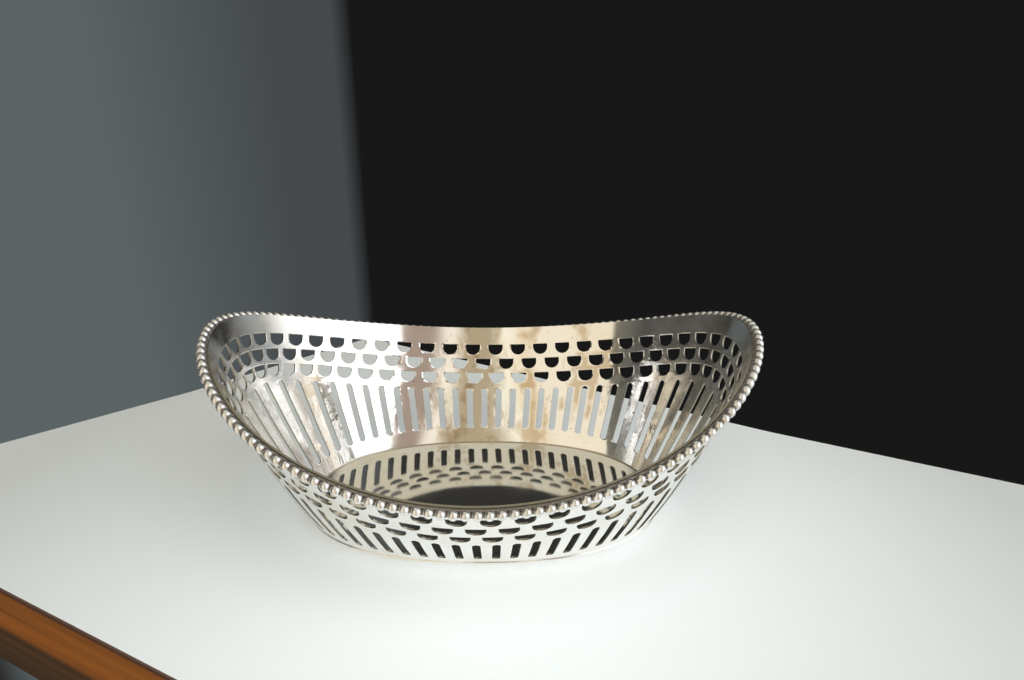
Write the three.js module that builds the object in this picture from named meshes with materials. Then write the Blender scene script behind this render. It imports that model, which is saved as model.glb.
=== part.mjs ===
import * as THREE from 'three';

// Oval pierced silver basket for sweets. Millimetres, +X along its length, +Z up, standing on z = 0.
// A share is how far round the oval a point lies, 0 to 1, from the middle of the back (+Y) towards +X.

// The open form, to the middle of the sheet
const rimHalfLength = 72;
const rimHalfWidth = 51.65;
const rimSideHeight = 33.85;
const rimEndHeight = 55.4;
const footHalfLength = 51.1;
const footHalfWidth = 30.2;
const footOvalPower = 2.29;
const wallBowShare = 0.29;
const sheet = 0.5;

// The rim climbs to both ends: mostly as a plain bow, partly as a sharper lift close to the tips
const tipLiftShare = 0.2;
const tipLiftPower = 6.7;

// The wall's slats fan out round the ends, so the rim runs ahead of the foot there
const fanShare = -0.233;
const fanQuarterShare = 0.069;

// Flat base plate under the wall
const plateThickness = 0.8;
const plateLip = 0.2;
const plateCorners = 84;

// Half-round holes in three staggered rows that follow the rim, flat side up
const deesPerRow = 54;
const deeWidth = 5;
const deeHeight = 3.6;
const deeStraight = 1.2;
const deeBridge = 0.9;
const deeFirstDrop = 5.9;
const deeSecondStep = 4.95;
const deeThirdStep = 5;
const deeFirstShare = 0.3265;
const deeCrowdShare = 0.125;

// One row of long round-ended slots between the half-round holes and the foot
const slotCount = 63;
const slotWidth = 2.1;
const slotFromFoot = 4.8;
const slotDrop = 21.4;
const slotFirstShare = 0.6682;
const slotCrowdShare = 0.092;

// Hand-pierced rows stray from even spacing. Shares of a pitch: steady, then the cosine and sine
// of one, two and three waves round the basket
const deeStrayShares = [
  [0.097, -0.151, 0.144, 0.053, -0.065, 0.036, -0.033],
  [0.043, -0.089, 0.212, 0.067, 0.028, -0.024, -0.007],
  [0.209, -0.065, 0.244, -0.039, 0.055, 0.004, -0.066],
];
const slotStrayShares = [0.02, 0.08, 0.08, 0.03, -0.135];

// Bead wire on the outside: its middle runs below the rim's edge, and climbs past it at the ends
const beadCount = 155;
const beadRadius = 1.3;
const beadNeckRadius = 0.7;
const beadShoulderShare = 0.2;
const beadClearance = 0.15;
const beadDrop = 0.9;
const beadClimb = 1.1;
const beadFirstShare = 0.362;
const beadSides = 8;

const turn = 2 * Math.PI;
const smallShareStep = 1e-4;
const probe = 0.05;
const cellBend = 0.12;
const snapReach = 0.35;
const deeSideShare = 2 / 3;
const capInsetShare = 0.134;

const silver = new THREE.MeshStandardMaterial({ color: 0xe6e2da, roughness: 0.16, metalness: 1 });
const silverBeads = new THREE.MeshStandardMaterial({ color: 0xe0dbd0, roughness: 0.2, metalness: 1 });
const silverPlate = new THREE.MeshStandardMaterial({ color: 0xdedad2, roughness: 0.1, metalness: 1 });

// A closed oval as a list of points with the length run so far
function makeOval(halfLength, halfWidth, squareness) {
  const steps = 2880;
  const oval = [];
  let run = 0;
  for (let i = 0; i <= steps; i++) {
    const across = Math.sin(turn * i / steps);
    const back = Math.cos(turn * i / steps);
    const x = halfLength * Math.sign(across) * Math.abs(across) ** (2 / squareness);
    const y = halfWidth * Math.sign(back) * Math.abs(back) ** (2 / squareness);
    if (i > 0) run += Math.hypot(x - oval[i - 1].x, y - oval[i - 1].y);
    oval.push({ x, y, run });
  }
  return oval;
}

const wrap = (share) => share - Math.floor(share);

// Reads a table whose entries grow with `key`, between the two entries that hold the value
function readTable(table, key, value) {
  let low = 0;
  let high = table.length - 1;
  while (high - low > 1) {
    const middle = (low + high) >> 1;
    if (table[middle][key] <= value) low = middle;
    else high = middle;
  }
  const span = table[high][key] - table[low][key];
  return { low: table[low], high: table[high], part: span > 0 ? (value - table[low][key]) / span : 0 };
}

function ovalAt(oval, share) {
  const { low, high, part } = readTable(oval, 'run', wrap(share) * oval[oval.length - 1].run);
  return { x: low.x + (high.x - low.x) * part, y: low.y + (high.y - low.y) * part };
}

const footOval = makeOval(footHalfLength, footHalfWidth, footOvalPower);
const rimOval = makeOval(rimHalfLength, rimHalfWidth, 2);
const rimRun = rimOval[rimOval.length - 1].run;

function rimShare(share) {
  const fan = fanShare * Math.sin(2 * turn * share) / (2 * turn);
  return share + fan + fanQuarterShare * Math.sin(4 * turn * share) / (4 * turn);
}

// The wall's own share for a share of the rim's length
function shareOfRim(wanted) {
  let share = wanted;
  for (let i = 0; i < 30; i++) share += wanted - rimShare(share);
  return share;
}

function rimHeight(x) {
  const end = Math.abs(x) / rimHalfLength;
  const climb = (1 - tipLiftShare) * end ** 2 + tipLiftShare * end ** tipLiftPower;
  return rimSideHeight + (rimEndHeight - rimSideHeight) * climb;
}

// Middle of the sheet; rise goes from 0 at the foot to 1 at the rim
function wallPoint(share, rise) {
  const foot = ovalAt(footOval, share);
  const rim = ovalAt(rimOval, rimShare(share));
  const spread = rise * (1 + wallBowShare) - wallBowShare * rise ** 2;
  return new THREE.Vector3(
    foot.x + (rim.x - foot.x) * spread,
    foot.y + (rim.y - foot.y) * spread,
    plateThickness + (rimHeight(rim.x) - plateThickness) * rise,
  );
}

const slants = new Map();

// Length up the wall from the foot, in steps of rise
function slantAt(share) {
  const name = share.toFixed(9);
  if (!slants.has(name)) {
    const steps = 32;
    const table = [{ rise: 0, along: 0 }];
    let last = wallPoint(share, 0);
    for (let i = 1; i <= steps; i++) {
      const next = wallPoint(share, i / steps);
      table.push({ rise: i / steps, along: table[i - 1].along + next.distanceTo(last) });
      last = next;
    }
    slants.set(name, table);
  }
  return slants.get(name);
}

function wallLength(share) {
  const table = slantAt(share);
  return table[table.length - 1].along;
}

function pointUp(share, along) {
  const { low, high, part } = readTable(slantAt(share), 'along', along);
  return wallPoint(share, low.rise + (high.rise - low.rise) * part);
}

const pointDown = (share, drop) => pointUp(share, wallLength(share) - drop);

// Outward normal of the sheet
function wallNormal(share, along) {
  const inside = Math.min(Math.max(along, probe), wallLength(share) - probe);
  const round = pointUp(share + smallShareStep, inside).sub(pointUp(share - smallShareStep, inside));
  const up = pointUp(share, inside + probe).sub(pointUp(share, inside - probe));
  return up.cross(round).normalize();
}

// The pattern is laid out flat as (share, along), then wrapped onto both faces of the sheet
const pattern = { points: [], numbers: new Map(), triangles: [] };

function patternPoint(share, along) {
  const name = `${wrap(Number(share.toFixed(7))).toFixed(7)} ${along.toFixed(4)}`;
  if (!pattern.numbers.has(name)) {
    pattern.numbers.set(name, pattern.points.length);
    pattern.points.push({ share, along });
  }
  return pattern.numbers.get(name);
}

const flat = ([share, along]) => new THREE.Vector2(share * rimRun, along);

// Points within a straight side are drawn in towards the hole, so no triangle lies along the side
function bentSide(side, middle) {
  const [start, end] = [flat(side[0]), flat(side[side.length - 1])];
  return side.slice(0, -1).map((point) => {
    const place = flat(point);
    const part = place.distanceTo(start) / end.distanceTo(start);
    const inward = middle.clone().sub(place).normalize();
    return place.addScaledVector(inward, cellBend * 4 * part * (1 - part));
  });
}

// A cell of the pattern is one hole in a four-sided frame; each side runs from corner to corner
function addCell(sides, hole) {
  const rim = hole.map(flat);
  const middle = rim.reduce((sum, point) => sum.add(point), new THREE.Vector2()).divideScalar(rim.length);
  const frame = sides.flatMap((side) => bentSide(side, middle));
  const places = [...frame, ...rim];
  const points = [...sides.flatMap((side) => side.slice(0, -1)), ...hole];
  for (const [a, b, c] of THREE.ShapeUtils.triangulateShape(frame, [rim])) {
    const [p, q, r] = [places[a], places[b], places[c]];
    const clockwise = (q.x - p.x) * (r.y - p.y) - (q.y - p.y) * (r.x - p.x) < 0;
    const corners = clockwise ? [a, c, b] : [a, b, c];
    pattern.triangles.push(corners.map((corner) => patternPoint(...points[corner])));
  }
}

function stray(even, shares) {
  let sum = shares[0];
  for (let i = 1; i < shares.length; i += 2) {
    const angle = turn * even * (i + 1) / 2;
    sum += shares[i] * Math.cos(angle) + shares[i + 1] * Math.sin(angle);
  }
  return sum;
}

// Half-round holes. A place counts half pitches, so both parities share their row lines;
// a row line lies half-way between two rows.
function deeShare(place, row) {
  const even = (place / 2 + deeFirstShare) / deesPerRow;
  const [above, below] = [Math.floor(row), Math.ceil(row)].map((i) => stray(even, deeStrayShares[i]));
  const strayed = even + (above + below) / 2 / deesPerRow;
  return shareOfRim(strayed + deeCrowdShare * Math.sin(2 * turn * strayed) / (2 * turn));
}

const onRow = (share, drop) => [share, wallLength(share) - drop];

// Turns steps across and down from a place on a row into (share, along)
function stepsFrom(share, drop) {
  const round = pointDown(share + smallShareStep, drop).sub(pointDown(share - smallShareStep, drop));
  round.divideScalar(2 * smallShareStep);
  const down = pointDown(share, drop + probe).sub(pointDown(share, drop - probe)).divideScalar(2 * probe);
  const speed = round.length();
  const slide = down.dot(round) / speed;
  const fall = Math.sqrt(down.lengthSq() - slide ** 2);
  return (across, low) => onRow(share + (across - low / fall * slide) / speed, drop + low / fall);
}

function deeOutline(share, drop, pitch) {
  const half = Math.min(deeWidth, pitch - deeBridge) / 2;
  const curve = deeHeight - deeStraight;
  const corners = [[-half, 0], [half, 0], [half, deeStraight]];
  for (const angle of [45, 90, 135]) {
    const lean = THREE.MathUtils.degToRad(angle);
    corners.push([half * Math.cos(lean), deeStraight + curve * Math.sin(lean)]);
  }
  corners.push([-half, deeStraight]);
  const steps = stepsFrom(share, drop);
  return corners.map(([across, low]) => steps(across, low));
}

const deeSecondDrop = deeFirstDrop + deeSecondStep;
const deeDrops = [deeFirstDrop, deeSecondDrop, deeSecondDrop + deeThirdStep];
const rowLines = [0, (deeDrops[0] + deeHeight + deeDrops[1]) / 2, (deeDrops[1] + deeHeight + deeDrops[2]) / 2,
  (deeDrops[2] + deeHeight + slotDrop) / 2];
const slotLine = rowLines[3];

// Slot edges meet the lowest row line between the half-round holes' own corners
function slotShare(place) {
  const even = (place / 2 + slotFirstShare) / slotCount;
  const strayed = even + stray(even, slotStrayShares) / slotCount;
  return strayed + slotCrowdShare * Math.sin(2 * turn * strayed) / (2 * turn);
}

const deePlaces = [];
for (let place = -4; place < 2 * deesPerRow + 4; place++) deePlaces.push(deeShare(place, 2));

function snapToDee(share) {
  const near = deePlaces.find((other) => Math.abs(other - share) * rimRun < snapReach);
  return near === undefined ? share : near;
}

const slotTopEdges = [];
for (let slot = -1; slot <= slotCount + 1; slot++) slotTopEdges.push(snapToDee(slotShare(2 * slot - 1)));

const between = (list, low, high) => list.filter((share) => share > low + 1e-6 && share < high - 1e-6);

for (let row = 0; row < 3; row++) {
  for (let dee = 0; dee < deesPerRow; dee++) {
    const place = 2 * dee + (row % 2);
    const threeShares = (at) => [place - 1, place, place + 1].map((each) => deeShare(each, at));
    const drop = deeDrops[row];
    const [left, middle, right] = threeShares(row);
    const pitch = pointDown(left, drop).distanceTo(pointDown(right, drop));
    const lower = threeShares(Math.min(row + 0.5, 2));
    if (row === 2) {
      lower.push(...between(slotTopEdges, lower[0], lower[1]), ...between(slotTopEdges, lower[1], lower[2]));
      lower.sort((a, b) => a - b);
    }
    const bottom = lower.map((share) => onRow(share, rowLines[row + 1]));
    const top = threeShares(Math.max(row - 0.5, 0)).reverse().map((share) => onRow(share, rowLines[row]));
    const sidePoints = (share) => [deeHeight * deeSideShare, 0].map((low) => stepsFrom(share, drop)(0, low));
    const sides = [
      bottom,
      [bottom[bottom.length - 1], ...sidePoints(right), top[0]],
      top,
      [top[2], ...sidePoints(left).reverse(), bottom[0]],
    ];
    addCell(sides, deeOutline(middle, drop, pitch));
  }
}

// Long slots, each in its own cell from the foot up to the lowest row line
function slotOutline(share) {
  const radius = slotWidth / 2;
  const top = wallLength(share) - slotDrop;
  const inset = radius * capInsetShare;
  const cap = [[-radius, radius], [-radius / 2, inset], [radius / 2, inset], [radius, radius]];
  const side = (across, along) => {
    const round = pointUp(share + smallShareStep, along).sub(pointUp(share - smallShareStep, along));
    round.divideScalar(2 * smallShareStep);
    const up = pointUp(share, along + probe).sub(pointUp(share, along - probe)).normalize();
    const square = Math.sqrt(round.lengthSq() - round.dot(up) ** 2);
    return [share + across / square, along];
  };
  const middle = (slotFromFoot + top) / 2;
  return [
    ...cap.map(([across, low]) => side(across, slotFromFoot + low)),
    side(radius, middle),
    ...cap.reverse().map(([across, low]) => side(across, top - low)),
    side(-radius, middle),
  ];
}

for (let slot = 0; slot < slotCount; slot++) {
  const share = slotShare(2 * slot);
  const [left, right] = [slotShare(2 * slot - 1), slotShare(2 * slot + 1)];
  const [topLeft, topRight] = [slotTopEdges[slot + 1], slotTopEdges[slot + 2]];
  const half = (edge) => [edge, (slotFromFoot + wallLength(edge) - slotDrop) / 2];
  const top = [topRight, ...between(deePlaces, topLeft, topRight).reverse(), topLeft];
  const row = top.map((edge) => onRow(edge, slotLine));
  const [footLeft, footRight] = [[left, 0], [right, 0]];
  const sides = [
    [footLeft, footRight],
    [footRight, half(right), row[0]],
    row,
    [row[row.length - 1], half(left), footLeft],
  ];
  addCell(sides, slotOutline(share));
}

function sheetPoint({ share, along }, side) {
  const middle = pointUp(share, along);
  const normal = wallNormal(share, along);
  if (along === 0) {
    // the foot is cut level, so the sheet stands flat on the plate
    normal.z = 0;
    normal.divideScalar(normal.lengthSq());
  }
  return middle.addScaledVector(normal, side * sheet / 2);
}

function makeMesh(name, positions, indices, material) {
  const geometry = new THREE.BufferGeometry();
  geometry.setAttribute('position', new THREE.Float32BufferAttribute(positions, 3));
  geometry.setIndex(indices);
  geometry.computeVertexNormals();
  const mesh = new THREE.Mesh(geometry, material);
  mesh.name = name;
  return mesh;
}

function makeWall() {
  const positions = [];
  const count = pattern.points.length;
  for (const side of [-1, 1]) {
    for (const point of pattern.points) positions.push(...sheetPoint(point, side).toArray());
  }
  const indices = [];
  const edges = new Set();
  for (const [a, b, c] of pattern.triangles) {
    indices.push(a, b, c);
    indices.push(a + count, c + count, b + count);
    for (const [from, to] of [[a, b], [b, c], [c, a]]) edges.add(`${from} ${to}`);
  }
  // an edge with a triangle on one side only is the rim, the foot or the side of a hole
  for (const edge of edges) {
    const [from, to] = edge.split(' ').map(Number);
    if (edges.has(`${to} ${from}`)) continue;
    indices.push(to, from, from + count);
    indices.push(to, from + count, to + count);
  }
  return makeMesh('pierced_wall', positions, indices, silver);
}

// Centre of the bead wire beside the rim, with the level direction away from the wall
function beadFrame(share) {
  const end = wallPoint(share, 1).x / rimHalfLength;
  const along = wallLength(share) - beadDrop + beadClimb * end ** 2;
  const away = wallNormal(share, along);
  const centre = pointUp(share, along).addScaledVector(away, sheet / 2 + beadClearance + beadRadius);
  const out = away.setZ(0).normalize();
  return { centre, out };
}

function makeBeadWire() {
  // even spacing along the wavy rim itself
  const steps = 1200;
  const path = [{ share: 0, run: 0 }];
  let last = beadFrame(0).centre;
  for (let i = 1; i <= steps; i++) {
    const next = beadFrame(i / steps).centre;
    path.push({ share: i / steps, run: path[i - 1].run + next.distanceTo(last) });
    last = next;
  }
  const whole = path[steps].run;
  const shareAt = (run) => {
    const { low, high, part } = readTable(path, 'run', wrap(run / whole) * whole);
    return low.share + (high.share - low.share) * part;
  };
  const profile = [[-0.5, beadNeckRadius], [-beadShoulderShare, beadRadius], [beadShoulderShare, beadRadius]];
  const stations = [];
  for (let bead = 0; bead < beadCount; bead++) {
    for (const [offset, radius] of profile) {
      stations.push({ share: shareAt((bead + beadFirstShare + offset) * whole / beadCount), radius });
    }
  }
  const positions = [];
  for (const { share, radius } of stations) {
    const { centre, out } = beadFrame(share);
    for (let side = 0; side < beadSides; side++) {
      const angle = turn * side / beadSides;
      const corner = centre.clone().addScaledVector(out, radius * Math.cos(angle));
      corner.z += radius * Math.sin(angle);
      positions.push(...corner.toArray());
    }
  }
  const indices = [];
  for (let i = 0; i < stations.length; i++) {
    const next = (i + 1) % stations.length;
    for (let side = 0; side < beadSides; side++) {
      const other = (side + 1) % beadSides;
      const [a, b] = [i * beadSides + side, i * beadSides + other];
      const [c, d] = [next * beadSides + side, next * beadSides + other];
      indices.push(a, b, c);
      indices.push(b, d, c);
    }
  }
  return makeMesh('bead_wire', positions, indices, silverBeads);
}

function makeBasePlate() {
  const outline = new THREE.Shape();
  for (let corner = 0; corner < plateCorners; corner++) {
    const share = corner / plateCorners;
    const edge = wallPoint(share, 0);
    const normal = wallNormal(share, 0);
    const level = Math.hypot(normal.x, normal.y);
    const reach = (sheet / 2 / level + plateLip) / level;
    const point = [edge.x + normal.x * reach, edge.y + normal.y * reach];
    if (corner === 0) outline.moveTo(...point);
    else outline.lineTo(...point);
  }
  outline.closePath();
  const geometry = new THREE.ExtrudeGeometry(outline, { depth: plateThickness, bevelEnabled: false });
  const mesh = new THREE.Mesh(geometry, silverPlate);
  mesh.name = 'base_plate';
  return mesh;
}

const basket = new THREE.Group();
basket.name = 'bonbon_basket';
basket.add(makeBasePlate(), makeWall(), makeBeadWire());

export default basket;
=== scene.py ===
# Pierced silver bonbon basket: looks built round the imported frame
import bpy
import bmesh
import math
import numpy as np
from mathutils import Matrix, Vector


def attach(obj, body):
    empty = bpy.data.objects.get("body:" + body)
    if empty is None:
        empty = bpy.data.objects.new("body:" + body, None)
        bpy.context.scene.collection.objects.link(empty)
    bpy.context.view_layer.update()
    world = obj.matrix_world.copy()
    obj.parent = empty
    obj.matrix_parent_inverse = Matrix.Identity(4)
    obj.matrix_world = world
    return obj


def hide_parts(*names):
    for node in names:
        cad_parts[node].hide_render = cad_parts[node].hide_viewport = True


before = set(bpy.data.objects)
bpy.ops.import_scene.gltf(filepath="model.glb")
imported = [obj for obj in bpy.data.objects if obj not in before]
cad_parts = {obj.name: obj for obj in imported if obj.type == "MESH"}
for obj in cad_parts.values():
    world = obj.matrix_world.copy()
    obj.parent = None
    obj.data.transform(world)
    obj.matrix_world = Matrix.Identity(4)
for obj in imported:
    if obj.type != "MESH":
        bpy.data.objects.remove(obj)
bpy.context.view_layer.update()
mm = 0.001
fullTurn = 2 * math.pi
# small steps for slopes: a share of the way round the oval, and a length up or down the slant
shareStep = 1e-4
slantStep = 0.05 * mm
# edges sharper than this are rounded
sharpEdge = math.radians(50)
# corners this near a cut lie on it
onCut = 1e-7


def freshStart():
    # the CAD nodes come in selected, so nothing is left active or selected
    if bpy.context.object and bpy.context.object.mode != "OBJECT":
        bpy.ops.object.mode_set(mode="OBJECT")
    bpy.ops.object.select_all(action="DESELECT")


def pickOnly(*pieces):
    freshStart()
    for piece in pieces:
        piece.select_set(True)
    bpy.context.view_layer.objects.active = pieces[0]


def editWhole(piece):
    pickOnly(piece)
    bpy.ops.object.mode_set(mode="EDIT")
    bpy.ops.mesh.select_all(action="SELECT")


def mergeCorners(piece, gap):
    editWhole(piece)
    bpy.ops.mesh.remove_doubles(threshold=gap)
    bpy.ops.object.mode_set(mode="OBJECT")


def faceOutwards(piece):
    editWhole(piece)
    bpy.ops.mesh.normals_make_consistent(inside=False)
    bpy.ops.object.mode_set(mode="OBJECT")


def readPlaces(piece):
    places = np.zeros(len(piece.data.vertices) * 3)
    piece.data.vertices.foreach_get("co", places)
    return places.reshape(-1, 3)


def writePlaces(piece, places):
    piece.data.vertices.foreach_set("co", np.asarray(places, float).ravel())
    piece.data.update()


def markCorners(piece, title, kind, values):
    attribute = piece.data.attributes.new(title, kind, "POINT")
    attribute.data.foreach_set("value", values)


def repeatAlong(piece, count, pitch):
    array = piece.modifiers.new("repeat", "ARRAY")
    array.count = count
    array.use_relative_offset = False
    array.use_constant_offset = True
    array.constant_offset_displace = (pitch, 0, 0)
    return array


def roundEdges(piece, width, segments):
    rounding = piece.modifiers.new("edges", "BEVEL")
    rounding.width = width
    rounding.segments = segments
    rounding.limit_method = "ANGLE"
    rounding.angle_limit = sharpEdge
    return rounding


def applyModifiers(piece):
    pickOnly(piece)
    for modifier in list(piece.modifiers):
        bpy.ops.object.modifier_apply(modifier=modifier.name)


def countTriangles(piece):
    return sum(len(face.vertices) - 2 for face in piece.data.polygons)


def unitRows(vectors):
    return vectors / np.linalg.norm(vectors, axis=1, keepdims=True)


def runAlong(points):
    # the length walked up to each point
    return np.concatenate([[0], np.cumsum(np.linalg.norm(np.diff(points, axis=0), axis=1))])


# The open form, to the middle of the sheet
form = {
    "rimHalfLength": 72 * mm,
    "rimHalfWidth": 51.65 * mm,
    "rimSideHeight": 33.85 * mm,
    "rimEndHeight": 55.4 * mm,
    "tipLiftShare": 0.2,
    "tipLiftPower": 6.7,
    "footHalfLength": 51.1 * mm,
    "footHalfWidth": 30.2 * mm,
    "footSquareness": 2.29,
    "wallBow": 0.29,
    "sheet": 0.5 * mm,
    "plate": 0.8 * mm,
    "fanOut": -0.233,
    "fanOutQuarter": 0.069,
}
ovalSteps = 2880
slantSteps = 32
settleRounds = 30


def makeOval(halfLength, halfWidth, squareness):
    turn = np.linspace(0, fullTurn, ovalSteps + 1)
    x = halfLength * np.sign(np.sin(turn)) * np.abs(np.sin(turn)) ** (2 / squareness)
    y = halfWidth * np.sign(np.cos(turn)) * np.abs(np.cos(turn)) ** (2 / squareness)
    return x, y, runAlong(np.column_stack([x, y]))


footOval = makeOval(form["footHalfLength"], form["footHalfWidth"], form["footSquareness"])
rimOval = makeOval(form["rimHalfLength"], form["rimHalfWidth"], 2)
rimRun = rimOval[2][-1]


def ovalAt(oval, share):
    run = np.mod(share, 1) * oval[2][-1]
    return np.interp(run, oval[2], oval[0]), np.interp(run, oval[2], oval[1])


def wave(share, times):
    # so many waves round the oval, none of them steeper than 1
    return np.sin(times * fullTurn * share) / (times * fullTurn)


def rimShare(share):
    # the lines from foot to rim fan out a little
    return share + form["fanOut"] * wave(share, 2) + form["fanOutQuarter"] * wave(share, 4)


def shareOfRim(wanted):
    share = np.array(wanted, float)
    for _ in range(settleRounds):
        share = share + wanted - rimShare(share)
    return share


def wallPoint(share, rise):
    # share goes once round the oval, and rise from 0 at the foot to 1 at the rim
    footX, footY = ovalAt(footOval, share)
    rimX, rimY = ovalAt(rimOval, rimShare(share))
    end = np.abs(rimX) / form["rimHalfLength"]
    lift = form["tipLiftShare"]
    climb = (1 - lift) * end**2 + lift * end ** form["tipLiftPower"]
    height = form["rimSideHeight"] + (form["rimEndHeight"] - form["rimSideHeight"]) * climb
    spread = rise * (1 + form["wallBow"]) - form["wallBow"] * rise**2
    x = footX + (rimX - footX) * spread
    y = footY + (rimY - footY) * spread
    z = form["plate"] + (height - form["plate"]) * rise
    return np.stack(np.broadcast_arrays(x, y, z), axis=-1)


def slantTable(share):
    rises = np.linspace(0, 1, slantSteps + 1)
    steps = wallPoint(share[:, None], rises[None, :])
    lengths = np.linalg.norm(np.diff(steps, axis=1), axis=2)
    return rises, np.concatenate([np.zeros((len(share), 1)), np.cumsum(lengths, axis=1)], axis=1)


def wallLength(share):
    return slantTable(np.atleast_1d(share))[1][:, -1]


def pointUp(share, along):
    # the point that lies this far up the slant from the foot; it may run a little past either end
    share, along = np.broadcast_arrays(np.atleast_1d(share), np.atleast_1d(along))
    rises, table = slantTable(share)
    low = np.clip((table <= along[:, None]).sum(axis=1) - 1, 0, slantSteps - 1)
    rows = np.arange(len(share))
    part = (along - table[rows, low]) / (table[rows, low + 1] - table[rows, low])
    return wallPoint(share, rises[low] + part * (rises[1] - rises[0]))


def pointDown(share, drop):
    # the same, down the slant from the rim
    share, drop = np.broadcast_arrays(np.atleast_1d(share), np.atleast_1d(drop))
    return pointUp(share, wallLength(share) - drop)


def slopes(pointAt, share, along, reach=slantStep):
    # how the point moves with the share of the oval, and with the length along the slant
    onward = pointAt(share + shareStep, along) - pointAt(share - shareStep, along)
    slant = pointAt(share, along + reach) - pointAt(share, along - reach)
    return onward / (2 * shareStep), slant / (2 * reach)


def wallAxes(share, along):
    # unit vectors outward and up the slant, from a reach short enough to stay below the rim
    reach = 0.04 * mm
    onward, up = slopes(pointUp, share, along, reach)
    up = unitRows(up)
    return unitRows(np.cross(up, onward)), up


print("stage: form of the basket ready")

# Pierced wall: one half-round cell and one slot cell, repeated along a flat strip
# that is then bent round
piercing = {
    "deesPerRow": 54,
    "deeWidth": 5 * mm,
    "deeHeight": 3.6 * mm,
    "deeStraight": 1.2 * mm,
    "deeBridge": 0.9 * mm,
    "deeDrops": (5.9 * mm, 10.85 * mm, 15.85 * mm),
    "deeFirst": 0.3265,
    "deeCrowding": 0.125,
    "deeStrays": (
        (0.097, -0.151, 0.144, 0.053, -0.065, 0.036, -0.033),
        (0.043, -0.089, 0.212, 0.067, 0.028, -0.024, -0.007),
        (0.209, -0.065, 0.244, -0.039, 0.055, 0.004, -0.066),
    ),
    "slotCount": 63,
    "slotWidth": 2.1 * mm,
    "slotFromFoot": 4.8 * mm,
    "slotDrop": 21.4 * mm,
    "slotFirst": 0.6682,
    "slotCrowding": 0.092,
    "slotStrays": (0.02, 0.08, 0.08, 0.03, -0.135),
    "aboveDees": 0.7 * mm,
    "cellGap": 0.45 * mm,
    "footBand": 3.9 * mm,
    "belowFoot": 0.5 * mm,
    "rimBandRows": 5,
    "footBandRows": 4,
    "edgeRounding": 0.11 * mm,
    "edgeSteps": 2,
    "shadingWeight": 90,
}
# faces across and up a cell, whose corners lie on rings from the hole outwards
deeGrid = (8, 4)
slotGrid = (7, 6)
ringShares = np.array([0.0, 0.4, 1.0])
lastRing = len(ringShares) - 1
# steps down the straight side of a half-round hole, and on from there to the middle of its foot
straightSteps = 2
curveSteps = 6
# the flat cell as it is first made
cellSize = np.array([7 * mm, 5 * mm])
cellInset = 0.4 * mm
onLine = 0.001 * mm
# corners nearer than these become one, on the flat strip and on the bent wall
flatGap = 0.002 * mm
bentGap = 0.004 * mm


def stray(even, shares):
    # hand-pierced rows stray from even spacing in slow waves: a constant, then cosines and sines
    total = shares[0] + 0 * even
    for i in range(1, len(shares), 2):
        angle = fullTurn * even * (i + 1) / 2
        total = total + shares[i] * np.cos(angle) + shares[i + 1] * np.sin(angle)
    return total


def deeShare(place, row):
    # places count half holes, and half a row further lies the line between two rows
    even = (place / 2 + piercing["deeFirst"]) / piercing["deesPerRow"]
    above = stray(even, piercing["deeStrays"][math.floor(row)])
    below = stray(even, piercing["deeStrays"][math.ceil(row)])
    strayed = even + (above + below) / 2 / piercing["deesPerRow"]
    return shareOfRim(strayed + piercing["deeCrowding"] * wave(strayed, 2))


def slotShare(place):
    even = (place / 2 + piercing["slotFirst"]) / piercing["slotCount"]
    strayed = even + stray(even, piercing["slotStrays"]) / piercing["slotCount"]
    return strayed + piercing["slotCrowding"] * wave(strayed, 2)


# The lines above, between and below the rows, by their drop from the rim
drops = piercing["deeDrops"]
lastRow = len(drops) - 1
bottoms = [drop + piercing["deeHeight"] for drop in drops]
rowLines = (
    drops[0] - piercing["aboveDees"],
    (bottoms[0] + drops[1]) / 2,
    (bottoms[1] + drops[2]) / 2,
    (bottoms[2] + piercing["slotDrop"] - piercing["cellGap"]) / 2,
)


def makeCell(name, grid):
    # a flat plate inset twice, with its middle taken out for the hole
    freshStart()
    bpy.ops.mesh.primitive_grid_add(x_subdivisions=grid[0], y_subdivisions=grid[1], size=1)
    cell = bpy.context.object
    cell.name = name
    bpy.ops.object.mode_set(mode="EDIT")
    bpy.ops.transform.resize(value=(*cellSize, 1))
    bpy.ops.mesh.select_mode(type="FACE")
    for _ in range(lastRing):
        bpy.ops.mesh.inset(thickness=cellInset, use_boundary=True, use_even_offset=True)
    bpy.ops.mesh.delete(type="FACE")
    bpy.ops.object.mode_set(mode="OBJECT")
    # each corner of the mesh remembers its ring, and its place round it as a step of the grid
    places = readPlaces(cell)[:, :2]
    insets = np.round((cellSize / 2 - np.abs(places)).min(axis=1) / cellInset).astype(int)
    edges = cellSize / 2 - insets[:, None] * cellInset
    steps = np.round((places / cellSize + 0.5) * grid).astype(int)
    steps = np.where(places > edges - onLine, grid, steps)
    steps = np.where(places < onLine - edges, 0, steps)
    markCorners(cell, "ring", "INT", lastRing - insets)
    markCorners(cell, "step", "INT", steps[:, 0] + steps[:, 1] * (grid[0] + 1))
    markCorners(cell, "nearHole", "FLOAT", (insets / lastRing).astype(np.float32))
    return cell


def repeatCell(cell, count):
    # a copy of the cell with its own mesh, repeated along the strip
    pickOnly(cell)
    bpy.ops.object.duplicate()
    strip = bpy.context.object
    repeatAlong(strip, count, cellSize[0])
    applyModifiers(strip)
    return strip


def readMarks(strip, grid, count):
    # ring, step, column, row and cell of each corner
    values = []
    for title in ("ring", "step"):
        numbers = np.zeros(len(strip.data.vertices), np.int32)
        strip.data.attributes[title].data.foreach_get("value", numbers)
        values.append(numbers.astype(int))
    rings, steps = values
    cells = np.arange(len(steps)) * count // len(steps)
    return rings, steps, steps % (grid[0] + 1), steps // (grid[0] + 1), cells


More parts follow.
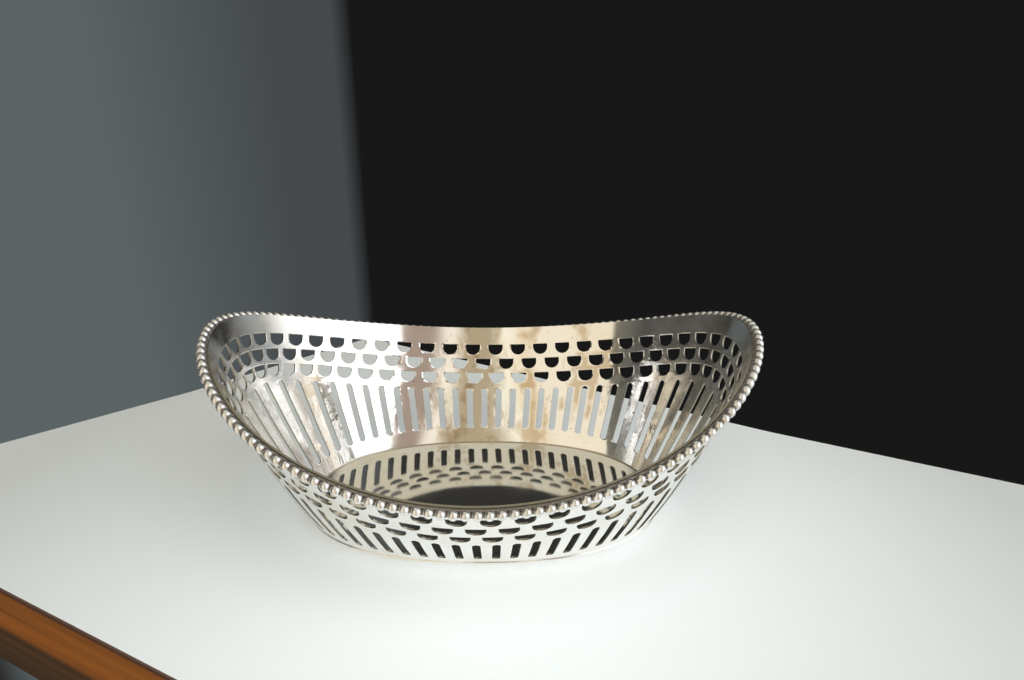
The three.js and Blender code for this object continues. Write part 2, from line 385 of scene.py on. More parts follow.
def mixRings(rings, hole, border):
    shares = ringShares[rings][:, None]
    flat = hole * (1 - shares) + border * shares
    return np.column_stack([flat[:, 0] * rimRun, flat[:, 1], np.zeros(len(flat))])


def deeOutline(step):
    # flat side up: -1 to 1 across, and the length down from the flat side
    column, row = step % (deeGrid[0] + 1), step // (deeGrid[0] + 1)
    if row == deeGrid[1]:
        return column / deeGrid[0] * 2 - 1, 0.0
    if column in (0, deeGrid[0]) and row > 0:
        sign = 1 if column else -1
        walk = deeGrid[1] - row
    else:
        sign = 1 if column > deeGrid[0] / 2 else -1
        walk = deeGrid[1] + (deeGrid[0] - column if sign > 0 else column)
    if walk <= straightSteps:
        return float(sign), piercing["deeStraight"] * walk / straightSteps
    lean = (walk - straightSteps) / curveSteps * math.pi / 2
    curve = piercing["deeHeight"] - piercing["deeStraight"]
    return sign * math.cos(lean), piercing["deeStraight"] + curve * math.sin(lean)


def slotOutline(step):
    # -1 to 1 across, the bulge of a round end from -1 to 1, and the share of the straight length
    column, row = step % (slotGrid[0] + 1), step // (slotGrid[0] + 1)
    if 0 < row < slotGrid[1]:
        return (1.0 if column else -1.0), 0.0, row / slotGrid[1]
    lean = math.pi * column / slotGrid[0]
    bulge = math.sin(lean) * (1 if row else -1)
    return -math.cos(lean), bulge, float(row == slotGrid[1])


def outlineTable(outlineAt, grid):
    return np.array([outlineAt(step) for step in range((grid[0] + 1) * (grid[1] + 1))])


def stepsFrom(share, drop):
    # steps across and down from a place on a row, as (share, length up the slant)
    onward, down = slopes(pointDown, share, drop)
    speed = np.linalg.norm(onward, axis=1)
    slide = (down * onward).sum(axis=1) / speed
    fall = np.sqrt((down**2).sum(axis=1) - slide**2)

    def place(cells, across, low):
        reached = share[cells] + (across - low / fall[cells] * slide[cells]) / speed[cells]
        return np.stack([reached, wallLength(reached) - drop - low / fall[cells]], axis=1)

    return place


def layOutDees(strip, row):
    # from the even strip to true places: (share round the oval, length up the slant)
    rings, steps, columns, rows, cells = readMarks(strip, deeGrid, piercing["deesPerRow"])
    drop = drops[row]
    middles = 2 * np.arange(piercing["deesPerRow"]) + row % 2
    # the border's lower and upper lines follow the rows, and its sides lean as the holes do
    border = np.zeros((len(steps), 2))
    lines = (
        (0, min(row + 0.5, lastRow), rowLines[row + 1]),
        (deeGrid[1], max(row - 0.5, 0), rowLines[row]),
    )
    for line, level, depth in lines:
        on = rows == line
        share = deeShare(middles[cells[on]] + 2 * columns[on] / deeGrid[0] - 1, level)
        border[on] = np.stack([share, wallLength(share) - depth], axis=1)
    for side in (0, deeGrid[0]):
        beside = stepsFrom(deeShare(middles + 2 * side / deeGrid[0] - 1, row), drop)
        on = (columns == side) & (rows > 0) & (rows < deeGrid[1])
        low = (deeGrid[1] - 1 - rows[on]) / (deeGrid[1] - 1)
        border[on] = beside(cells[on], 0, piercing["deeHeight"] * low)
    ends = [pointDown(deeShare(middles + side, row), drop) for side in (-1, 1)]
    pitch = np.linalg.norm(ends[1] - ends[0], axis=1)
    half = np.minimum(piercing["deeWidth"], pitch - piercing["deeBridge"]) / 2
    outline = outlineTable(deeOutline, deeGrid)
    within = stepsFrom(deeShare(middles, row), drop)
    hole = within(cells, outline[steps, 0] * half[cells], outline[steps, 1])
    return mixRings(rings, hole, border)


def layOutSlots(strip):
    rings, steps, columns, rows, cells = readMarks(strip, slotGrid, piercing["slotCount"])
    borderShare = slotShare(2 * cells + 2 * columns / slotGrid[0] - 1)
    top = wallLength(borderShare) - rowLines[-1] - piercing["cellGap"]
    borderAlong = piercing["footBand"] + (top - piercing["footBand"]) * rows / slotGrid[1]
    border = np.stack([borderShare, borderAlong], axis=1)
    outline = outlineTable(slotOutline, slotGrid)
    radius = piercing["slotWidth"] / 2
    centre = slotShare(2 * np.arange(piercing["slotCount"]))[cells]
    start = piercing["slotFromFoot"] + radius
    length = wallLength(centre) - piercing["slotDrop"] - radius - start
    along = start + length * outline[steps, 2] + radius * outline[steps, 1]
    onward, up = slopes(pointUp, centre, along)
    up = unitRows(up)
    square = np.sqrt((onward**2).sum(axis=1) - (onward * up).sum(axis=1) ** 2)
    hole = np.stack([centre + outline[steps, 0] * radius / square, along], axis=1)
    return mixRings(rings, hole, border)


def plainBand(name, columns, rows, shareAt, lowAt, highAt):
    freshStart()
    bpy.ops.mesh.primitive_grid_add(x_subdivisions=columns, y_subdivisions=rows, size=2)
    band = bpy.context.object
    band.name = name
    places = readPlaces(band)
    share = shareAt(np.round((places[:, 0] + 1) / 2 * columns))
    low, high = lowAt(share), highAt(share)
    along = low + (high - low) * (places[:, 1] + 1) / 2
    writePlaces(band, np.column_stack([share * rimRun, along, np.zeros(len(share))]))
    return band


deeCell = makeCell("deeCell", deeGrid)
slotCell = makeCell("slotCell", slotGrid)
strips = []
for row in range(len(drops)):
    strip = repeatCell(deeCell, piercing["deesPerRow"])
    writePlaces(strip, layOutDees(strip, row))
    strips.append(strip)
slotStrip = repeatCell(slotCell, piercing["slotCount"])
writePlaces(slotStrip, layOutSlots(slotStrip))
strips.append(slotStrip)
strips.append(plainBand(
    "rimBand", deeGrid[0] * piercing["deesPerRow"], piercing["rimBandRows"],
    lambda column: deeShare(2 * column / deeGrid[0] - 1, 0),
    lambda share: wallLength(share) - rowLines[0],
    wallLength,
))
strips.append(plainBand(
    "footBand", slotGrid[0] * piercing["slotCount"], piercing["footBandRows"],
    lambda column: slotShare(2 * column / slotGrid[0] - 1),
    lambda share: -piercing["belowFoot"] + 0 * share,
    lambda share: piercing["footBand"] + 0 * share,
))
pickOnly(*strips)
bpy.ops.object.join()
wall = bpy.context.object
wall.name = "piercedWall"
mergeCorners(wall, flatGap)
for spare in (deeCell, slotCell):
    bpy.data.objects.remove(spare)
print("stage: flat strip pierced,", len(wall.data.polygons), "faces")

# The seam between half-round rows and slots is filled, since their columns don't match
seamSteps = 4400
seamMargin = 0.05
seamShares = np.linspace(-seamMargin, 1 + seamMargin, seamSteps + 1)
seamHeights = wallLength(seamShares) - rowLines[-1]


def seamSide(corners, below):
    # the corners this far below the lowest line, in order along the strip
    side = []
    for corner in corners:
        height = np.interp(corner.co.x / rimRun, seamShares, seamHeights) - below
        if abs(corner.co.y - height) < bentGap:
            side.append(corner)
    return sorted(side, key=lambda corner: corner.co.x)


pickOnly(wall)
bpy.ops.object.mode_set(mode="EDIT")
bpy.ops.mesh.select_mode(type="VERT")
bpy.ops.mesh.select_all(action="DESELECT")
shell = bmesh.from_edit_mesh(wall.data)
upper = seamSide(shell.verts, 0)
lower = seamSide(shell.verts, piercing["cellGap"])
high, low = 0, 0
while high < len(upper) - 1 or low < len(lower) - 1:
    # step on whichever side is behind
    stepHigh = low == len(lower) - 1 or (
        high < len(upper) - 1 and upper[high + 1].co.x < lower[low + 1].co.x
    )
    if stepHigh:
        shell.faces.new((upper[high], lower[low], upper[high + 1]))
        high += 1
    else:
        shell.faces.new((lower[low], lower[low + 1], upper[high]))
        low += 1
bmesh.update_edit_mesh(wall.data)
bpy.ops.object.mode_set(mode="OBJECT")

flat = readPlaces(wall)
writePlaces(wall, pointUp(flat[:, 0] / rimRun, flat[:, 1]))
mergeCorners(wall, bentGap)
faceOutwards(wall)
print("stage: strip bent round,", len(wall.data.vertices), "corners")

# two material slots: the sheet's faces, and the sawn edges of rim, holes and slots
for _ in range(2):
    wall.data.materials.append(None)
solid = wall.modifiers.new("sheet", "SOLIDIFY")
solid.material_offset_rim = 1
solid.thickness = form["sheet"]
solid.offset = 0
solid.use_quality_normals = True
applyModifiers(wall)
# the foot is cut level with the plate's top and closed again
editWhole(wall)
bpy.ops.mesh.bisect(
    plane_co=(0, 0, form["plate"]), plane_no=(0, 0, 1), clear_inner=True, threshold=onCut,
)
bpy.ops.mesh.bridge_edge_loops()
bpy.ops.object.mode_set(mode="OBJECT")
roundEdges(wall, piercing["edgeRounding"], piercing["edgeSteps"])
weighted = wall.modifiers.new("shading", "WEIGHTED_NORMAL")
weighted.weight = piercing["shadingWeight"]
pickOnly(wall)
bpy.ops.object.shade_smooth()
applyModifiers(wall)
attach(wall, "root")
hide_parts("pierced_wall")
print("stage: pierced wall,", countTriangles(wall), "triangles")

# Bead wire outside the rim: one bead, repeated along a straight wire
# that is then laid round the rim
beading = {
    "count": 155,
    "radius": 1.29 * mm,
    "neckRadius": 0.5 * mm,
    "clearance": 0.16 * mm,
    "drop": 0.9 * mm,
    "climb": 1.1 * mm,
    "first": 0.362,
    "sides": 10,
    "rings": 8,
    "hollowFrom": 0.6,
    "hollowSoftness": 0.2,
    "stripHeight": 0.9 * mm,
    "stripDepth": 0.8 * mm,
    "stripShadeAndTarnish": 0.7,
    "stripSides": 6,
    "stripStepsPerBead": 3,
    "underEdge": 0.12 * mm,
}
# corners nearer than this become one along the wire
wireGap = 0.01 * mm
# the strip and the seam are laid out from a thin torus, and the strip's sides are cut flat
torusThickness = 0.25
torusFlat = 0.2


def beadDrop(share):
    # the wire runs below the rim's edge, and climbs past it at the ends
    end = wallPoint(share, 1.0)[:, 0] / form["rimHalfLength"]
    return beading["drop"] - beading["climb"] * end**2


def beadFrame(share):
    length = wallLength(share)
    along = length - beadDrop(share)
    out, up = wallAxes(share, np.minimum(along, length - slantStep))
    away = form["sheet"] / 2 + beading["clearance"] + beading["radius"]
    return pointUp(share, along) + out * away, out, up


pathSteps = 2400
pathShares = np.linspace(0, 1, pathSteps + 1)
pathRun = runAlong(beadFrame(pathShares)[0])
beadPitch = pathRun[-1] / beading["count"]


def shareAlong(run):
    return np.interp(np.mod(run, pathRun[-1]), pathRun, pathShares)


def layRoundRim(piece, offset):
    # x runs along the wire, y away from the wall, z up along it
    places = readPlaces(piece)
    centre, out, up = beadFrame(shareAlong(places[:, 0] + offset))
    writePlaces(piece, centre + out * places[:, 1:2] + up * places[:, 2:3])


freshStart()
bpy.ops.mesh.primitive_uv_sphere_add(
    segments=beading["sides"],
    ring_count=beading["rings"],
    radius=beading["radius"],
    rotation=(0, math.pi / 2, 0),
)
beads = bpy.context.object
beads.name = "beadWire"
bpy.ops.object.transform_apply(location=False, rotation=True, scale=False)
neckAt = math.sqrt(beading["radius"] ** 2 - beading["neckRadius"] ** 2)
neckLength = beadPitch / 2 - neckAt
bpy.ops.object.mode_set(mode="EDIT")
for side in (-1, 1):
    bpy.ops.mesh.select_all(action="SELECT")
    bpy.ops.mesh.bisect(
        plane_co=(side * neckAt, 0, 0), plane_no=(side, 0, 0), clear_outer=True, threshold=onCut,
    )
    bpy.ops.mesh.extrude_edges_move(TRANSFORM_OT_translate={"value": (side * neckLength, 0, 0)})
bpy.ops.object.mode_set(mode="OBJECT")
array = repeatAlong(beads, beading["count"], beadPitch)
array.use_merge_vertices = True
array.merge_threshold = wireGap
applyModifiers(beads)
# the hollows between the beads are marked before bending, for their darker colour: painted shade
# between the beads, along with tarnished metal
places = readPlaces(beads)
fromAxis = np.hypot(places[:, 1], places[:, 2]) / beading["radius"]
hollow = np.clip((beading["hollowFrom"] - fromAxis) / beading["hollowSoftness"], 0, 1)
markCorners(beads, "hollow", "FLOAT", hollow.astype(np.float32))
layRoundRim(beads, beading["first"] * beadPitch)

# solder strip that fills the crevice between the wire and the wall
freshStart()
bpy.ops.mesh.primitive_torus_add(
    major_segments=beading["stripStepsPerBead"] * beading["count"],
    minor_segments=beading["stripSides"],
    major_radius=1,
    minor_radius=torusThickness,
)
backing = bpy.context.object
places = readPlaces(backing)
run = np.arctan2(places[:, 1], places[:, 0]) / fullTurn * pathRun[-1]
outwards = 0.5 + np.clip((np.hypot(places[:, 0], places[:, 1]) - 1) / torusFlat, -1, 1) / 2
upwards = (places[:, 2] / torusThickness + 1) / 2
rimAbove = beadDrop(shareAlong(run)) - beading["underEdge"]
high = np.minimum(rimAbove, beading["stripHeight"])
writePlaces(backing, np.column_stack([
    run,
    -beading["radius"] - beading["clearance"] + beading["stripDepth"] * outwards,
    -beading["stripHeight"] + upwards * (high + beading["stripHeight"]),
]))
# the solder strip in the crevice behind the beads is darkened as well: painted shade there, with
# tarnished solder
markCorners(backing, "hollow", "FLOAT", np.full(len(run), beading["stripShadeAndTarnish"], np.float32))
layRoundRim(backing, 0)
pickOnly(beads, backing)
bpy.ops.object.join()
mergeCorners(beads, wireGap)
faceOutwards(beads)
bpy.ops.object.shade_smooth()
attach(beads, "root")
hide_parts("bead_wire")
print("stage: bead wire,", countTriangles(beads), "triangles")

# Base plate with a softened edge
plateValues = {
    "corners": 252,
    "lip": 0.2 * mm,
    "edgeRounding": 0.1 * mm,
    "edgeSteps": 3,
    "smoothAngle": math.radians(40),
    "domeShare": 0.96,
    "domeRise": 1 * mm,
    "domeRings": 12,
    "domeMiddle": 0.05,
}


def footLine(share, reach):
    # level line beside the foot, at the plate's top; reach is outward from the wall's own face
    point = wallPoint(share, 0.0)
    out = wallAxes(share, slantStep)[0]
    level = np.hypot(out[:, 0], out[:, 1])[:, None]
    aside = np.sign(reach) * form["sheet"] / 2 / level + reach
    return point + np.column_stack([out[:, :2] / level * aside, np.zeros(len(share))])


def shareRound(places):
    return np.mod(np.arctan2(places[:, 0], places[:, 1]) / fullTurn, 1)


freshStart()
bpy.ops.mesh.primitive_circle_add(vertices=plateValues["corners"], radius=1, fill_type="NGON")
plate = bpy.context.object
plate.name = "basePlate"
outline = footLine(shareRound(readPlaces(plate)), plateValues["lip"])
outline[:, 2] = 0
writePlaces(plate, outline)
bpy.ops.object.mode_set(mode="EDIT")
bpy.ops.mesh.select_all(action="SELECT")
bpy.ops.mesh.extrude_region_move(TRANSFORM_OT_translate={"value": (0, 0, form["plate"])})
# the sheet rises very slightly to its middle, which stretches the wall's image in it
domeShare = plateValues["domeShare"]
outer = 1.0
for inner in np.linspace(1, plateValues["domeMiddle"], plateValues["domeRings"]) * domeShare:
    lift = plateValues["domeRise"] * (min(outer, domeShare) ** 2 - inner**2)
    bpy.ops.mesh.extrude_region_move(TRANSFORM_OT_translate={"value": (0, 0, lift)})
    bpy.ops.transform.resize(value=(inner / outer, inner / outer, 1), center_override=(0, 0, 0))
    outer = inner
faceOutwards(plate)
rounding = roundEdges(plate, plateValues["edgeRounding"], plateValues["edgeSteps"])
rounding.harden_normals = True
bpy.ops.object.shade_smooth_by_angle(angle=plateValues["smoothAngle"])
applyModifiers(plate)
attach(plate, "root")
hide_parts("base_plate")
print("stage: base plate,", countTriangles(plate), "triangles")

# Solder seam along the foot, inside
seamValues = {
    "size": 0.3 * mm,
    "width": 0.75,
    "sink": 0.2,
    "sides": 8,
}
# the least step inwards finds the wall's inner face
leastStep = 1e-9
freshStart()
bpy.ops.mesh.primitive_torus_add(
    major_segments=plateValues["corners"],
    minor_segments=seamValues["sides"],
    major_radius=1,
    minor_radius=torusThickness,
)
seam = bpy.context.object
seam.name = "solderSeam"
places = readPlaces(seam)
share = shareRound(places)
line = footLine(share, -leastStep)
inward = unitRows(footLine(share, -1 * mm) - line)
around = np.arctan2(places[:, 2], 1 - np.hypot(places[:, 0], places[:, 1]))
line = line + inward * np.cos(around)[:, None] * seamValues["size"] * seamValues["width"]
line[:, 2] += np.maximum(np.sin(around), -seamValues["sink"]) * seamValues["size"]
writePlaces(seam, line)
faceOutwards(seam)
bpy.ops.object.shade_smooth()
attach(seam, "root")
print("stage: solder seam,", countTriangles(seam), "triangles")


# Finishes
def newMaterial(name):
    material = bpy.data.materials.new(name)
    material.use_nodes = True
    tree = material.node_tree
    return material, tree, tree.nodes["Principled BSDF"]


def feed(tree, socket, value):
    # a socket takes another node's output, a number, or a colour without its alpha
    if isinstance(value, bpy.types.NodeSocket):
        tree.links.new(value, socket)
    elif socket.type == "RGBA":
        socket.default_value = (*value, 1)
    else:
        socket.default_value = value


def mathNode(tree, operation, *values):
    node = tree.nodes.new("ShaderNodeMath")
    node.operation = operation
    for socket, value in zip(node.inputs, values):
        feed(tree, socket, value)
    return node.outputs[0]


def rampNode(tree, source, start, end, low=0.0, high=1.0, blend="LINEAR"):
    node = tree.nodes.new("ShaderNodeMapRange")
    node.interpolation_type = blend
    feed(tree, node.inputs["Value"], source)
    node.inputs["From Min"].default_value = start
    node.inputs["From Max"].default_value = end
    node.inputs["To Min"].default_value = low
    node.inputs["To Max"].default_value = high
    return node.outputs["Result"]


def mixNode(tree, factor, first, second, blend="MIX"):
    node = tree.nodes.new("ShaderNodeMix")
    node.data_type = "RGBA"
    node.blend_type = blend
    # among the node's sockets for numbers and vectors, these are the ones for colours
    for index, value in ((0, factor), (6, first), (7, second)):
        feed(tree, node.inputs[index], value)
    return node.outputs[2]


def stopsNode(tree, source, stops):
    # a colour ramp with its stops as (place, tone)
    node = tree.nodes.new("ShaderNodeValToRGB")
    feed(tree, node.inputs["Fac"], source)
    elements = node.color_ramp.elements
    elements.remove(elements[-1])
    elements[0].position = stops[0][0]
    elements[0].color = (*stops[0][1], 1)
    for place, tone in stops[1:]:
        elements.new(place).color = (*tone, 1)
    return node.outputs["Color"]


def noiseNode(tree, where, scale, detail, stretch=(1, 1, 1)):
    mapping = tree.nodes.new("ShaderNodeMapping")
    mapping.inputs["Scale"].default_value = stretch
    feed(tree, mapping.inputs["Vector"], where)
    cloud = tree.nodes.new("ShaderNodeTexNoise")
    cloud.inputs["Scale"].default_value = scale
    cloud.inputs["Detail"].default_value = detail
    feed(tree, cloud.inputs["Vector"], mapping.outputs["Vector"])
    return cloud.outputs["Fac"]


def bumpNode(tree, height, strength, distance, under=None):
    node = tree.nodes.new("ShaderNodeBump")
    feed(tree, node.inputs["Height"], height)
    feed(tree, node.inputs["Strength"], strength)
    node.inputs["Distance"].default_value = distance
    if under is not None:
        feed(tree, node.inputs["Normal"], under)
    return node.outputs["Normal"]


def markNode(tree, title):
    node = tree.nodes.new("ShaderNodeAttribute")
    node.attribute_name = title
    return node.outputs["Fac"]


def distanceNode(tree, where, centre):
    node = tree.nodes.new("ShaderNodeVectorMath")
    node.operation = "DISTANCE"
    feed(tree, node.inputs[0], where)
    node.inputs[1].default_value = centre
    return node.outputs["Value"]


def splitNode(tree, where):
    node = tree.nodes.new("ShaderNodeSeparateXYZ")
    feed(tree, node.inputs[0], where)
    return node.outputs


# each cloud's noise scale and detail, with its stretch where it isn't round
clouds = {
    "film": (55, 3),
    "specks": (900, 2),
    "stainsAndReflection": (100, 3, (1, 1, 0.6)),
    "polish": (140, 4),
    "touch": (210, 3),
    "waves": (38, 1),
    "ripples": (230, 2),
    "scratches": (1500, 2, (1, 0.06, 0.5)),
}
# where each mark starts and is full
limits = {
    "film": (0.48, 0.72),
    "specks": (0.68, 0.76),
    "stainsAndReflection": (0.53, 0.62),
    "betweenHoles": (0.3, 0.9),
    "polish": (0.3, 0.75),
    "hollows": (0.05, 0.8),
    "held": (52 * mm, 70 * mm),
    "touch": (0.35, 0.65),
}
depths = {
    "waves": 0.2 * mm,
    "ripples": 0.2 * mm,
    "scratches": 0.02 * mm,
}


def silverFinish(name, values):
    finish, tree, shader = newMaterial(name)
    where = tree.nodes.new("ShaderNodeTexCoord").outputs["Object"]

    def cloud(title):
        return noiseNode(tree, where, *clouds[title])

    def patches(title, low, high):
        return rampNode(tree, cloud(title), *limits[title], low, high)

    def dent(title, strength, under=None):
        return bumpNode(tree, cloud(title), strength, depths[title], under)

    # warm film in soft clouds, then small specks
    colour = mixNode(tree, patches("film", 0, values["film"]), values["bright"], values["warm"])
    colour = mixNode(tree, patches("specks", 0, values["specks"]), colour, values["tarnishAndShade"])
    if values.get("stainsAndReflection"):
        # brown patches between the holes, partly tarnished film that polishing leaves there and
        # partly a painted warm reflection of the room, most of them about one place on the far
        # wall
        stainsAndReflection = patches("stainsAndReflection", 0, values["stainsAndReflection"])
        between = rampNode(tree, markNode(tree, "nearHole"), *limits["betweenHoles"], 1, 0)
        stainsAndReflection = mathNode(tree, "MULTIPLY", stainsAndReflection, between)
        # the painted reflection is centred on the far wall and fades with distance to a small
        # share elsewhere
        away = distanceNode(tree, where, values["stainAndReflectionAt"])
        about = rampNode(tree, away, *values["stainAndReflectionReach"], values["stainAndReflectionElsewhere"], 1)
        stainsAndReflection = mathNode(tree, "MULTIPLY", stainsAndReflection, about)
        colour = mixNode(tree, stainsAndReflection, colour, values["stainAndReflectionTone"])
    roughness = patches("polish", values["smooth"], values["dull"])
    if values.get("hollows"):
        # painted shade, with tarnished metal, in the bead hollows and on the solder strip: their
        # colour is drawn to the dark tone and made duller
        deep = rampNode(tree, markNode(tree, "hollow"), *limits["hollows"], 0, values["hollows"])
        colour = mixNode(tree, deep, colour, values["tarnishAndShade"])
        roughness = mathNode(tree, "MULTIPLY_ADD", deep, values["hollowDullness"], roughness)
    # both ends are duller, where the basket is held
    fromMiddle = mathNode(tree, "ABSOLUTE", splitNode(tree, where)["X"])
    held = rampNode(tree, fromMiddle, *limits["held"])
    touch = patches("touch", values["handledLeast"] * values["handled"], values["handled"])
    roughness = mathNode(tree, "MULTIPLY_ADD", held, touch, roughness)
    # hand-planished waviness under fine polishing scratches
    normal = dent("waves", values["waves"])
    if values.get("ripples"):
        # the sheet is a little uneven beside the holes, where the saw and file went
        beside = rampNode(tree, markNode(tree, "nearHole"), 0, 1, 0, values["ripples"])
        normal = dent("ripples", beside, normal)
    normal = dent("scratches", values["scratches"], normal)
    feed(tree, shader.inputs["Metallic"], 1 - values["haze"])
    feed(tree, shader.inputs["Base Color"], colour)
    feed(tree, shader.inputs["Roughness"], roughness)
    feed(tree, shader.inputs["Normal"], normal)
    return finish


silverTones = {
    "bright": (0.95, 0.94, 0.92),
    "warm": (0.86, 0.78, 0.62),
    # dark tone of tarnished specks, also used for painted shade in the bead hollows
    "tarnishAndShade": (0.16, 0.13, 0.1),
    "film": 0.3,
    "specks": 0.5,
    "smooth": 0.05,
    "dull": 0.13,
    "waves": 0.9,
    "scratches": 0.12,
    "haze": 0.02,
    "handled": 0.2,
    "handledLeast": 0.4,
}
wallTones = {
    "film": 0.5,
    "ripples": 0.9,
    # brown patches between the holes: partly tarnished film, partly a painted warm reflection
    # centred on the far wall
    "stainsAndReflection": 0.75,
    "stainAndReflectionTone": (0.57, 0.45, 0.31),
    "stainAndReflectionAt": (12 * mm, 41 * mm, 18 * mm),
    "stainAndReflectionReach": (46 * mm, 34 * mm),
    "stainAndReflectionElsewhere": 0.15,
}
edgeTones = {
    "bright": (0.36, 0.34, 0.29),
    "warm": (0.29, 0.25, 0.18),
    "smooth": 0.2,
    "dull": 0.34,
}
beadTones = {
    "bright": (0.87, 0.87, 0.87),
    "warm": (0.7, 0.67, 0.61),
    "film": 0.7,
    "hollows": 0.92,
    "hollowDullness": 0.3,
    "smooth": 0.16,
    "dull": 0.3,
    "haze": 0.07,
}
plateTones = {
    "waves": 0.35,
    "smooth": 0.04,
    "dull": 0.09,
    "haze": 0.04,
}
seamTones = {
    "bright": (0.5, 0.44, 0.36),
    "smooth": 0.2,
    "dull": 0.4,
}
wall.data.materials[0] = silverFinish("wallSilver", {**silverTones, **wallTones})
wall.data.materials[1] = silverFinish("sawnEdge", {**silverTones, **edgeTones})
for piece, title, tones in (
    (beads, "beadSilver", beadTones),
    (plate, "plateSilver", plateTones),
    (seam, "seamSilver", seamTones),
):
    piece.data.materials.clear()
    piece.data.materials.append(silverFinish(title, {**silverTones, **tones}))
print("stage: finishes")

# Floor, light and camera
setting = {
    "floorColour": (0.805, 0.86, 0.885),
    "floorRoughness": 0.6,
    "floorSpecular": 0.2,
    "poolAt": (0, -40 * mm, 0),
    "poolReach": 160 * mm,
    "poolGlow": 0.447,
    "boardDepth": 30 * mm,
    "boardRoughness": 0.4,
    "grainStretch": (8, 8, 260),
    "grainDetail": 4,
    "grainLimits": (0.35, 0.65),
    "grainDark": 0.5,
    "lampWay": (24, 67),
    "lampDistance": 0.36,
    "lampSide": 0.18,
    "lampLevel": 2.5,
    "lampColour": (0.94, 0.98, 1),
    "sensor": 36,
    "nearest": 10 * mm,
    "lens": 25.13,
    "cameraAt": (6.6945 * mm, -180.207 * mm, 127.967 * mm),
    "elevation": 0.4026,
    "azimuth": 0.0083,
    "roll": 0.0027,
}
# the table's outline from above, with its wooden edge along the first side
tableCorners = (
    (-0.2014, 0.0022, 0),
    (0.7, -0.4502, 0),
    (0.7, -0.251, 0),
    (0.0993, 0.0376, 0),
    (-0.0566, 0.1229, 0),
    (-0.1165, 0.0688, 0),
)


def flatSheet(name, corners, material):
    freshStart()
    bpy.ops.mesh.primitive_plane_add(size=1)
    sheet = bpy.context.object
    sheet.name = name
    sheet.data.clear_geometry()
    sheet.data.from_pydata(corners, [], [range(len(corners))])
    sheet.data.update()
    sheet.data.materials.append(material)
    return sheet


paint, paintTree, cover = newMaterial("paleFloor")
feed(paintTree, cover.inputs["Base Color"], setting["floorColour"])
feed(paintTree, cover.inputs["Emission Color"], setting["floorColour"])
feed(paintTree, cover.inputs["Roughness"], setting["floorRoughness"])
feed(paintTree, cover.inputs["Specular IOR Level"], setting["floorSpecular"])
# the floor shows paler to the camera and in the silver, and keeps its shadow
ray = paintTree.nodes.new("ShaderNodeLightPath").outputs
seen = mathNode(paintTree, "MAXIMUM", ray["Is Camera Ray"], ray["Is Glossy Ray"])
seen = mathNode(paintTree, "MAXIMUM", seen, ray["Is Transmission Ray"])
# that glow is a painted pool of window light in front, strongest at its middle and gone at its
# reach
paintWhere = paintTree.nodes.new("ShaderNodeTexCoord").outputs["Object"]
fromPool = distanceNode(paintTree, paintWhere, setting["poolAt"])
pool = rampNode(paintTree, fromPool, setting["poolReach"], 0, 0, setting["poolGlow"])
feed(paintTree, cover.inputs["Emission Strength"], mathNode(paintTree, "MULTIPLY", seen, pool))
floor = flatSheet("floor", tableCorners, paint)

# the table's wooden edge in front: moulding as bands from its top down, with grain along it; the
# bands paint how light falls on it: a highlight on the top edge, then a dark line, a lit orange
# band and a shaded band below
wood, woodTree, woodShader = newMaterial("boardWood")
litAndShadedWoodBands = (
    (0, (0.3, 0.2, 0.17)),
    (0.05, (0.08, 0.03, 0.018)),
    (0.1, (0.42, 0.14, 0.014)),
    (0.5, (0.44, 0.14, 0.012)),
    (0.58, (0.1, 0.045, 0.01)),
    (1, (0.07, 0.03, 0.008)),
)
woodWhere = woodTree.nodes.new("ShaderNodeTexCoord").outputs["Object"]
depth = rampNode(woodTree, splitNode(woodTree, woodWhere)["Z"], 0, -setting["boardDepth"])
grain = noiseNode(woodTree, woodWhere, 1, setting["grainDetail"], setting["grainStretch"])
grain = rampNode(woodTree, grain, *setting["grainLimits"], setting["grainDark"], 1)
bands = stopsNode(woodTree, depth, litAndShadedWoodBands)
feed(woodTree, woodShader.inputs["Base Color"], mixNode(woodTree, 1, bands, grain, "MULTIPLY"))
feed(woodTree, woodShader.inputs["Roughness"], setting["boardRoughness"])
near, far = tableCorners[:2]
lowEdge = [(x, y, -setting["boardDepth"]) for x, y, z in (near, far)]
board = flatSheet("boardEdge", (far, near, *lowEdge), wood)

lampData = bpy.data.lights.new("windowLight", "AREA")
lampData.shape = "RECTANGLE"
lampData.size = lampData.size_y = setting["lampSide"]
lampData.energy = setting["lampLevel"] * math.pi * setting["lampSide"] ** 2
lampData.color = setting["lampColour"]
lamp = bpy.data.objects.new("windowLight", lampData)
bpy.context.scene.collection.objects.link(lamp)
# azimuth from the front, to the right, and elevation
turn, tilt = (math.radians(angle) for angle in setting["lampWay"])
way = Vector((math.sin(turn) * math.cos(tilt), -math.cos(turn) * math.cos(tilt), math.sin(tilt)))
lamp.location = way * setting["lampDistance"]
lamp.rotation_euler = way.to_track_quat("Z", "Y").to_euler()
# the silver mirrors the room alone
lamp.visible_glossy = False

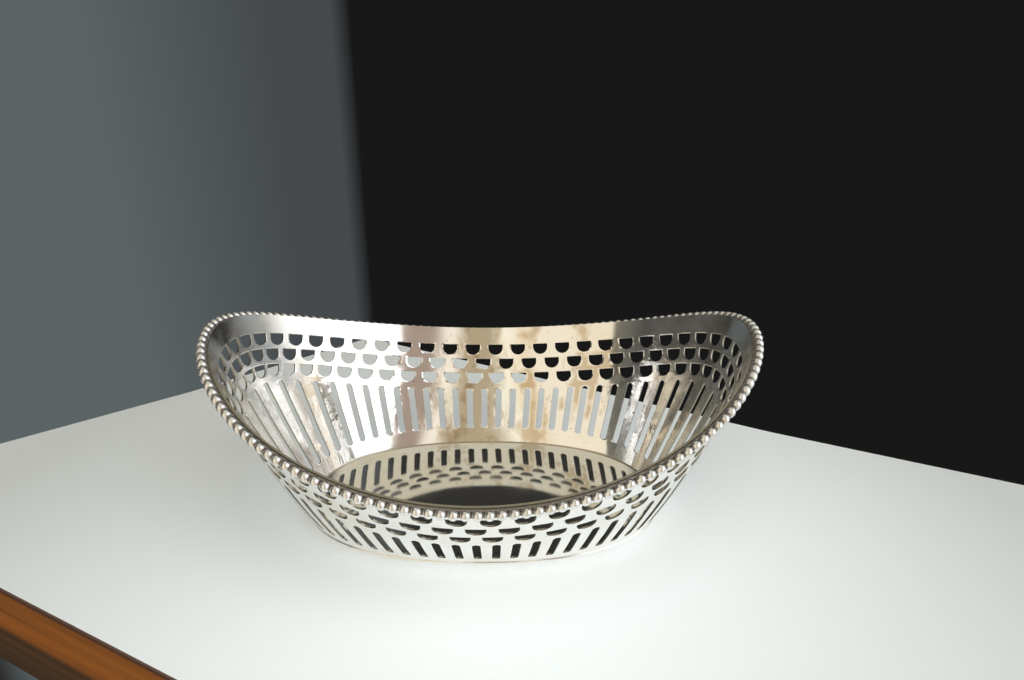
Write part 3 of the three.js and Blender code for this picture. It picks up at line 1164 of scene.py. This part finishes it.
# The room round the basket, by azimuth from the front: where each part starts, the softness
# of that edge, both in degrees, and its tone
roomParts = (
    (-180, 1, (0.009, 0.009, 0.009)),
    (-168.2, 0.5, (0.06, 0.067, 0.072)),
    (-157, 6, (0.105, 0.125, 0.13)),
    (-137.5, 1, (0.03, 0.03, 0.028)),
    (-126, 8, (0.07, 0.068, 0.062)),
    (-66, 6, (0.17, 0.16, 0.13)),
    (-57, 0.8, (0.93, 0.83, 0.65)),
    (-22, 3, (0.87, 0.72, 0.5)),
    (-14, 3, (1, 0.93, 0.75)),
    (-6, 2.5, (0.45, 0.36, 0.23)),
    (10, 2.5, (0.98, 0.9, 0.76)),
    (18, 2.5, (0.38, 0.29, 0.23)),
    (35, 1, (1.7, 1.7, 1.7)),
    (97, 13, (0.32, 0.34, 0.35)),
    (126, 8, (0.11, 0.11, 0.11)),
    (137, 1.5, (0.009, 0.009, 0.009)),
)
ceilingTone = (0.6, 0.56, 0.44)
# elevations where the ceiling begins and is full
ceilingFrom, ceilingFull = 50, 62


def rampPlace(degrees):
    # -180 to 180 degrees as 0 to 1 along the ramp
    return (degrees + 180) / 360


world = bpy.data.worlds.new("room")
bpy.context.scene.world = world
world.use_nodes = True
roomTree = world.node_tree
tone = roomParts[0][2]
roomStops = [(0, tone)]
for start, soft, nextTone in roomParts[1:]:
    roomStops += [(rampPlace(start - soft), tone), (rampPlace(start + soft), nextTone)]
    tone = nextTone
direction = splitNode(roomTree, roomTree.nodes.new("ShaderNodeTexCoord").outputs["Generated"])
frontward = mathNode(roomTree, "MULTIPLY", direction["Y"], -1)
azimuth = mathNode(roomTree, "ARCTAN2", direction["X"], frontward)
azimuth = mathNode(roomTree, "MULTIPLY_ADD", azimuth, 1 / fullTurn, 0.5)
room = stopsNode(roomTree, azimuth, roomStops)
ceiling = rampNode(
    roomTree, direction["Z"],
    math.sin(math.radians(ceilingFrom)), math.sin(math.radians(ceilingFull)),
    blend="SMOOTHSTEP",
)
background = roomTree.nodes["Background"]
feed(roomTree, background.inputs["Color"], mixNode(roomTree, ceiling, room, ceilingTone))
feed(roomTree, background.inputs["Strength"], 1)

cameraData = bpy.data.cameras.new("camera")
cameraData.lens = setting["lens"]
cameraData.sensor_width = setting["sensor"]
cameraData.sensor_fit = "HORIZONTAL"
cameraData.clip_start = setting["nearest"]
camera = bpy.data.objects.new("camera", cameraData)
bpy.context.scene.collection.objects.link(camera)
camera.location = setting["cameraAt"]
lookDown = Matrix.Rotation(math.pi / 2 - setting["elevation"], 3, "X")
lookAside = Matrix.Rotation(-setting["azimuth"], 3, "Z")
lean = Matrix.Rotation(setting["roll"], 3, "Z")
camera.rotation_euler = (lookAside @ lookDown @ lean).to_euler()
bpy.context.scene.camera = camera
bpy.context.scene.view_settings.view_transform = "Standard"
print("stage: floor, light and camera")
